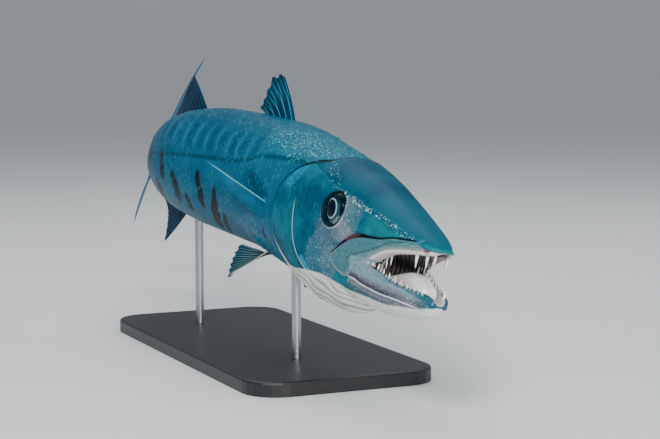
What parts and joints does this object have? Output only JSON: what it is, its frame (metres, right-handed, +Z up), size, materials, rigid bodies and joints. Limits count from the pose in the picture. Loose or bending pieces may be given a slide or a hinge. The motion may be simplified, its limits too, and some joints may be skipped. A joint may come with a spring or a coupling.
{
  "type": "barracuda model",
  "caption": "Life-size great barracuda with its mouth agape, swimming in a gentle curve, banked on a plain display stand.",
  "frame": {"origin": "centre of the underside of the stand's base", "axes": "+Z up, the head towards -Y, the fish's right side towards -X"},
  "size_m": [0.2859, 1.2218, 0.393],
  "materials": {
    "back_skin": "wet teal skin with a silvery sheen",
    "jaw_skin": "wet grey-teal skin",
    "mouth_skin": "wet whitish flesh",
    "fin_skin": "dark teal membrane over rays",
    "eye": "clear and wet",
    "stand_black": "satin black",
    "stand_steel": "brushed"
  },
  "bodies": {
    "root": {"head": "back_skin", "lower_jaw": "jaw_skin", "tongue": "mouth_skin", "eye_right": "eye", "eye_left": "eye", "trunk": "back_skin", "tail_stalk": "back_skin", "dorsal_fin_first": "fin_skin", "dorsal_fin_second": "fin_skin", "anal_fin": "fin_skin", "caudal_fin_upper": "fin_skin", "caudal_fin_lower": "fin_skin", "pectoral_fin_right": "fin_skin", "pectoral_fin_left": "fin_skin", "pelvic_fin_right": "fin_skin", "pelvic_fin_left": "fin_skin", "stand_base": "stand_black", "stand_rod_front": "stand_steel", "stand_rod_rear": "stand_steel"}
  },
  "joints": []
}
